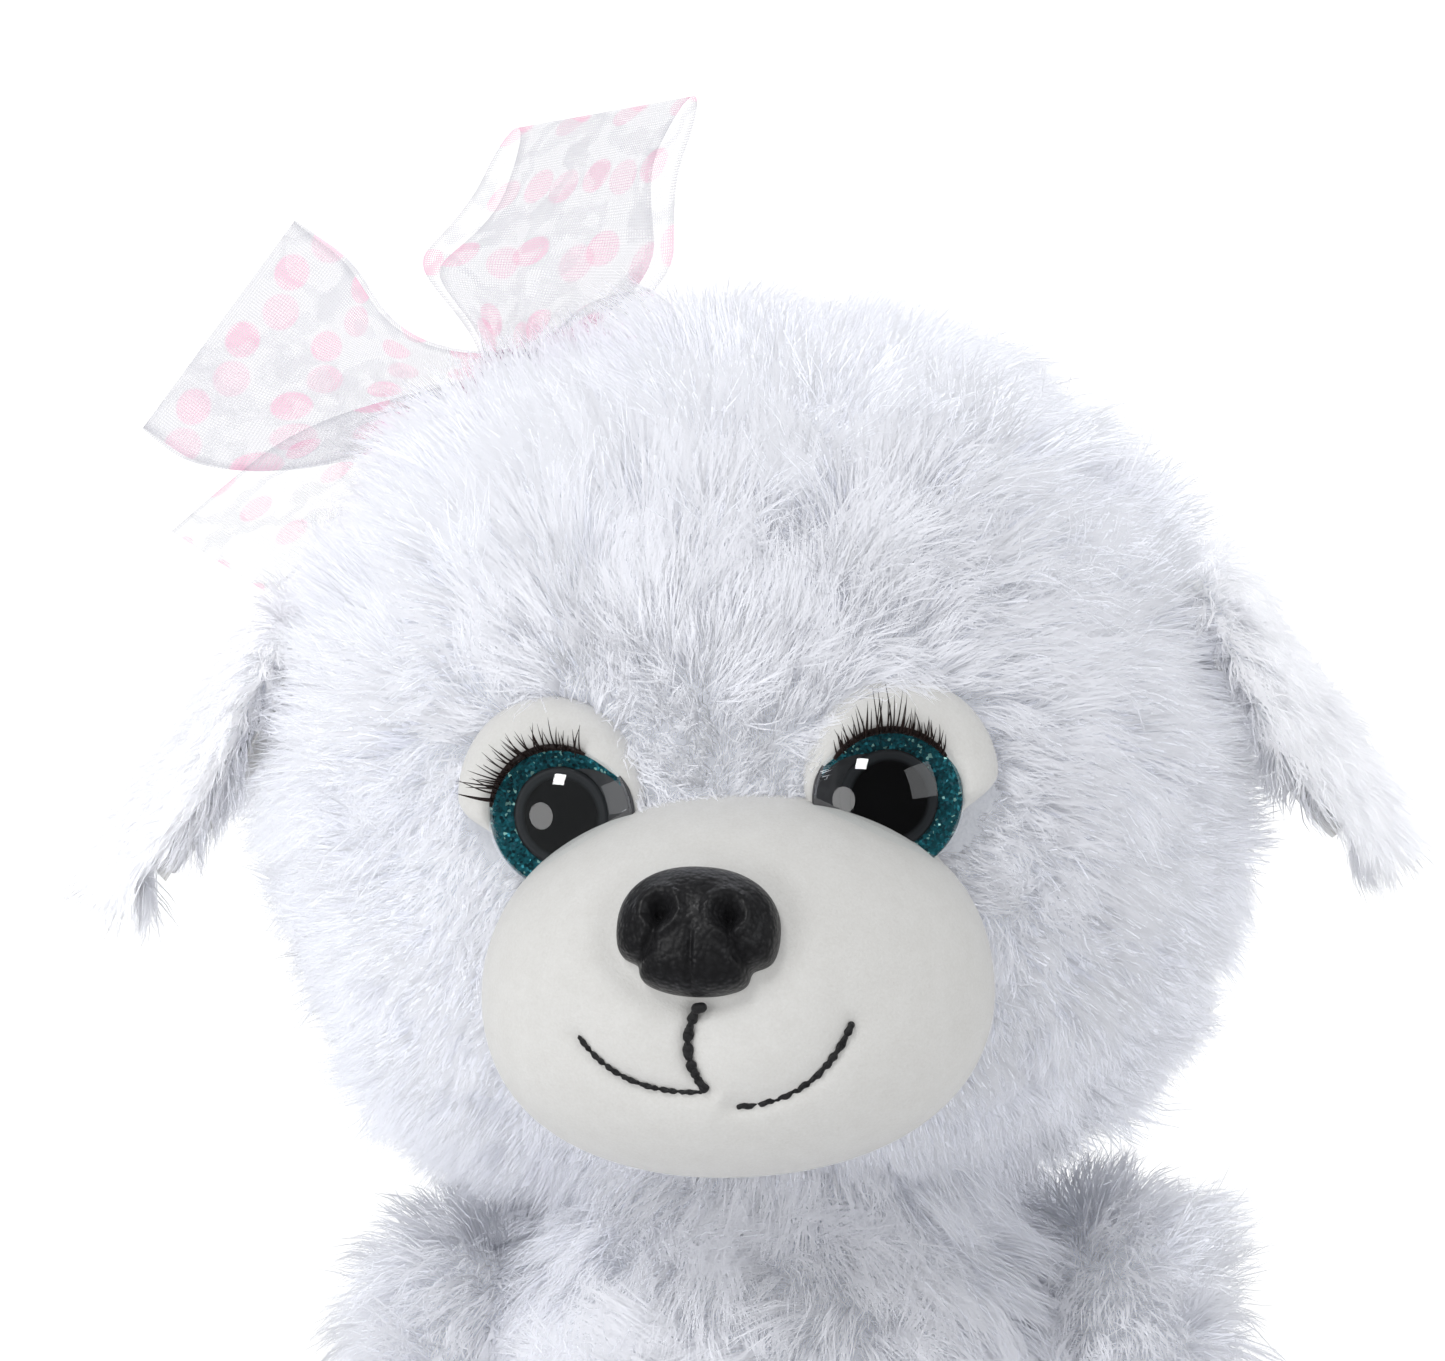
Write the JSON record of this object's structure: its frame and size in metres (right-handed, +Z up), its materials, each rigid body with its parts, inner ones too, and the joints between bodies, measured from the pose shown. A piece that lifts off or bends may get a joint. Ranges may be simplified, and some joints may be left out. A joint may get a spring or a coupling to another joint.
{
  "type": "plush dog",
  "caption": "Seated white plush dog with a soft stuffed body, drooping ears, glossy eyes with lashes, a moulded nose, a stitched smile and a sheer dotted bow.",
  "frame": {"origin": "middle of the flat seat, on the surface that the dog sits on", "axes": "+Z up, -Y the way the dog faces, +X towards the dog's own left"},
  "size_m": [0.1724, 0.1629, 0.2753],
  "materials": {
    "white_plush": "long soft pile, lightly tufted",
    "ivory_velour": "short smooth pile",
    "stuffing": "loose polyester fibre",
    "pouch_cloth": "plain close weave",
    "bead_filling": "small smooth pellets",
    "sewing_thread": "twisted thread",
    "black_thread": "twisted embroidery thread",
    "nose_plastic": "fine leather grain, low sheen",
    "pupil_black": "smooth gloss",
    "iris_foil": "teal glitter",
    "eye_dome": "clear polished dome",
    "post_plastic": "moulded",
    "washer_plastic": "moulded",
    "lash_fibre": "fine glossy fibre",
    "organza": "sheer weave with pink dots"
  },
  "bodies": {
    "torso": {"torso_base_panel": "white_plush", "torso_front_panel": "white_plush", "torso_back_panel": "white_plush", "torso_stuffing": "stuffing", "bead_pouch": "pouch_cloth", "pouch_beads": "bead_filling", "shoulder_thread_left": "sewing_thread", "shoulder_thread_right": "sewing_thread", "hip_thread": "sewing_thread", "tail_thread": "sewing_thread"},
    "neck": {"neck_cover": "white_plush", "neck_stuffing": "stuffing"},
    "head": {"head_gusset": "white_plush", "head_side_left": "white_plush", "head_side_right": "white_plush", "head_stuffing": "stuffing", "muzzle_cover": "ivory_velour", "muzzle_stuffing": "stuffing", "mouth_stitching": "black_thread", "nose": "nose_plastic", "nose_washer": "washer_plastic", "bow_thread": "sewing_thread", "eye_lens_left": "eye_dome", "eye_iris_left": "iris_foil", "eye_pupil_left": "pupil_black", "eye_post_left": "post_plastic", "eye_washer_left": "washer_plastic", "eyelid_left": "ivory_velour", "eyelashes_left": "lash_fibre", "ear_seam_left": "sewing_thread", "eye_lens_right": "eye_dome", "eye_iris_right": "iris_foil", "eye_pupil_right": "pupil_black", "eye_post_right": "post_plastic", "eye_washer_right": "washer_plastic", "eyelid_right": "ivory_velour", "eyelashes_right": "lash_fibre", "ear_seam_right": "sewing_thread"},
    "ear_left": {"ear_outer_left": "white_plush", "ear_lining_left": "ivory_velour"},
    "arm_left": {"arm_cover_left": "white_plush", "arm_stuffing_left": "stuffing"},
    "leg_left": {"leg_cover_left": "white_plush", "leg_stuffing_left": "stuffing", "foot_sole_left": "ivory_velour"},
    "ear_right": {"ear_outer_right": "white_plush", "ear_lining_right": "ivory_velour"},
    "arm_right": {"arm_cover_right": "white_plush", "arm_stuffing_right": "stuffing"},
    "leg_right": {"leg_cover_right": "white_plush", "leg_stuffing_right": "stuffing", "foot_sole_right": "ivory_velour"},
    "tail": {"tail_cover": "white_plush", "tail_stuffing": "stuffing"},
    "bow": {"bow_knot": "organza", "bow_loop_left": "organza", "bow_loop_right": "organza", "bow_tail_left": "organza", "bow_tail_right": "organza"}
  },
  "joints": [
    {"name": "head_turn", "type": "hinge", "parent": "torso", "child": "neck", "pos_m": [0, 0, 0.126], "axis": [0, 0, 1], "range_deg": [-25, 25], "stiffness_Nm_per_rad": 0.6},
    {"name": "head_nod", "type": "hinge", "parent": "neck", "child": "head", "pos_m": [0, 0, 0.126], "axis": [1, 0, 0], "range_deg": [-8, 12], "stiffness_Nm_per_rad": 6},
    {"name": "ear_swing_left", "type": "hinge", "parent": "head", "child": "ear_left", "pos_m": [0.06222, 0, 0.202], "axis": [0, -1, 0], "range_deg": [-6, 60], "stiffness_Nm_per_rad": 0.05},
    {"name": "arm_swing_left", "type": "hinge", "parent": "torso", "child": "arm_left", "pos_m": [0.044, -0.004, 0.104], "axis": [-1, 0, 0], "range_deg": [-5, 42], "stiffness_Nm_per_rad": 0.6},
    {"name": "leg_lift_left", "type": "hinge", "parent": "torso", "child": "leg_left", "pos_m": [0.04193, -0.02723, 0.02], "axis": [-1, 0, 0], "range_deg": [0, 10], "stiffness_Nm_per_rad": 0.4},
    {"name": "ear_swing_right", "type": "hinge", "parent": "head", "child": "ear_right", "pos_m": [-0.06222, 0, 0.202], "axis": [0, 1, 0], "range_deg": [-6, 60], "stiffness_Nm_per_rad": 0.05},
    {"name": "arm_swing_right", "type": "hinge", "parent": "torso", "child": "arm_right", "pos_m": [-0.044, -0.004, 0.104], "axis": [-1, 0, 0], "range_deg": [-5, 42], "stiffness_Nm_per_rad": 0.6},
    {"name": "leg_lift_right", "type": "hinge", "parent": "torso", "child": "leg_right", "pos_m": [-0.04193, -0.02723, 0.02], "axis": [-1, 0, 0], "range_deg": [0, 10], "stiffness_Nm_per_rad": 0.4},
    {"name": "tail_wag", "type": "hinge", "parent": "torso", "child": "tail", "pos_m": [0, 0.046, 0.036], "axis": [0, 0, 1], "range_deg": [-25, 25], "stiffness_Nm_per_rad": 0.1},
    {"name": "bow_swivel", "type": "hinge", "parent": "head", "child": "bow", "pos_m": [-0.03119, 0, 0.23454], "axis": [-0.4446, 0, 0.8958], "range_deg": [-12, 12], "stiffness_Nm_per_rad": 0.01}
  ]
}
